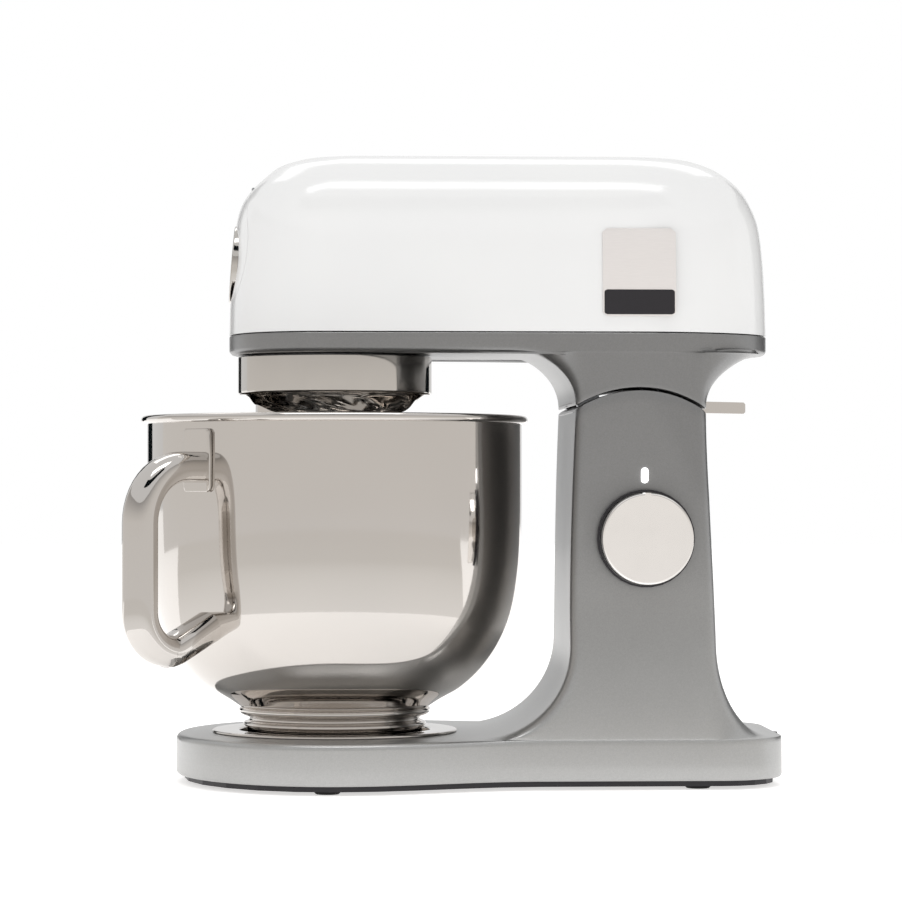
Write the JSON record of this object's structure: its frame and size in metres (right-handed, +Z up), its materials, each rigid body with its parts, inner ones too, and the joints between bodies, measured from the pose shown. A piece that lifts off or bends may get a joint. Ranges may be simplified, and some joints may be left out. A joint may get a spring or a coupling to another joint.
{
  "type": "stand mixer",
  "caption": "Tilt-head stand mixer with a white enamelled head, silver neck and base, mirror-polished bowl with a bar handle, side speed knob and a drive outlet in the nose.",
  "frame": {"origin": "on the surface the mixer stands on, under the bowl's axis", "axes": "+Z up, +X back towards the neck, -Y the side with the speed knob"},
  "size_m": [0.37, 0.2219, 0.3503],
  "materials": {
    "white_enamel": "gloss white stove enamel",
    "silver_paint": "satin metallic silver paint on die-cast aluminium",
    "polished_steel": "mirror-polished stainless steel",
    "drum_metal": "polished die-cast alloy",
    "badge_plate": "brushed plate with a black lower strip",
    "dark_plastic": "fine-grained moulded",
    "black_rubber": "matt",
    "light_lens": "translucent, lit",
    "board": "circuit board",
    "steel": "machined",
    "cast_aluminium": "as cast",
    "bronze": "sintered",
    "copper": "wound copper and carbon brush holders",
    "gear_plastic": "moulded acetal"
  },
  "bodies": {
    "stand": {"base_casting": "silver_paint", "base_cover": "dark_plastic", "foot_centre": "black_rubber", "foot_front_left": "black_rubber", "foot_front_right": "black_rubber", "foot_rear_left": "black_rubber", "foot_rear_right": "black_rubber", "cord_inlet": "black_rubber", "bowl_seat": "polished_steel", "hinge_saddle": "steel", "hinge_pin": "steel", "control_board": "board", "knob_ring": "dark_plastic", "speed_switch": "dark_plastic", "indicator_lens": "light_lens"},
    "bowl": {"bowl": "polished_steel", "bowl_foot": "polished_steel", "bowl_handle": "polished_steel", "handle_plate": "polished_steel"},
    "knob": {"speed_knob": "polished_steel", "knob_shaft": "steel"},
    "head": {"badge": "badge_plate", "brush_left": "copper", "brush_right": "copper", "drive_belt": "black_rubber", "gearbox_bridge": "cast_aluminium", "gearbox_plate": "cast_aluminium", "head_casting": "silver_paint", "head_cover": "white_enamel", "hinge_arm_left": "steel", "hinge_arm_right": "steel", "lever_pin": "steel", "main_bearing_lower": "bronze", "main_bearing_upper": "bronze", "motor_bracket_lower": "cast_aluminium", "motor_bracket_upper": "cast_aluminium", "motor_stator": "steel", "outlet_hinge_pin": "steel", "outlet_housing": "cast_aluminium", "ring_gear": "steel"},
    "door": {"outlet_cover": "white_enamel", "outlet_cover_disc": "drum_metal"},
    "lever": {"release_lever": "polished_steel"},
    "planet": {"planet_drum": "drum_metal", "tool_bush": "bronze", "main_shaft": "steel", "main_gear": "gear_plastic", "crown_gear": "gear_plastic"},
    "tool": {"tool_spindle": "steel", "planet_pinion": "steel", "tool_collar": "polished_steel", "beater": "cast_aluminium"},
    "layshaft": {"lay_shaft": "steel", "lay_pulley": "gear_plastic"},
    "rotor": {"motor_shaft": "steel", "motor_armature": "copper", "motor_pulley": "steel", "motor_fan": "dark_plastic"},
    "outlet": {"outlet_shaft": "steel", "outlet_pinion": "steel"}
  },
  "joints": [
    {"name": "head_tilt", "type": "hinge", "parent": "stand", "child": "head", "pos_m": [0.166, 0, 0.1528], "axis": [0, 1, 0], "range_deg": [0, 45]},
    {"name": "bowl_twist", "type": "hinge", "parent": "stand", "child": "bowl", "pos_m": [0, 0, 0.029], "axis": [0, 0, 1], "range_deg": [0, 30]},
    {"name": "knob_turn", "type": "hinge", "parent": "stand", "child": "knob", "pos_m": [0.169, -0.0633, 0.1365], "axis": [0, -1, 0], "range_deg": [-200, 30]},
    {"name": "planet_turn", "type": "hinge", "parent": "head", "child": "planet", "pos_m": [0, 0, 0.2167], "axis": [0, 0, 1], "continuous": true},
    {"name": "tool_turn", "type": "hinge", "parent": "planet", "child": "tool", "pos_m": [-0.03, 0, 0.2167], "axis": [0, 0, 1], "continuous": true},
    {"name": "layshaft_turn", "type": "hinge", "parent": "head", "child": "layshaft", "pos_m": [0.0525, 0, 0.262], "axis": [0, 0, 1], "continuous": true},
    {"name": "motor_turn", "type": "hinge", "parent": "head", "child": "rotor", "pos_m": [0.166, 0, 0.312], "axis": [0, 0, 1], "continuous": true},
    {"name": "outlet_turn", "type": "hinge", "parent": "head", "child": "outlet", "pos_m": [-0.04, 0, 0.296], "axis": [1, 0, 0], "continuous": true},
    {"name": "outlet_door", "type": "hinge", "parent": "head", "child": "door", "pos_m": [-0.0456, 0, 0.3313], "axis": [0, 1, 0], "range_deg": [0, 90]},
    {"name": "lever_lift", "type": "hinge", "parent": "head", "child": "lever", "pos_m": [0.191, 0, 0.2205], "axis": [0, -1, 0], "range_deg": [0, 12], "stiffness_Nm_per_rad": 0.4, "springref_deg": -20.05}
  ],
  "couplings": [
    {"joint": "tool_turn", "follows": "planet_turn", "ratio": -3},
    {"joint": "layshaft_turn", "follows": "planet_turn", "ratio": -6},
    {"joint": "motor_turn", "follows": "planet_turn", "ratio": -18},
    {"joint": "outlet_turn", "follows": "planet_turn", "ratio": -2}
  ]
}
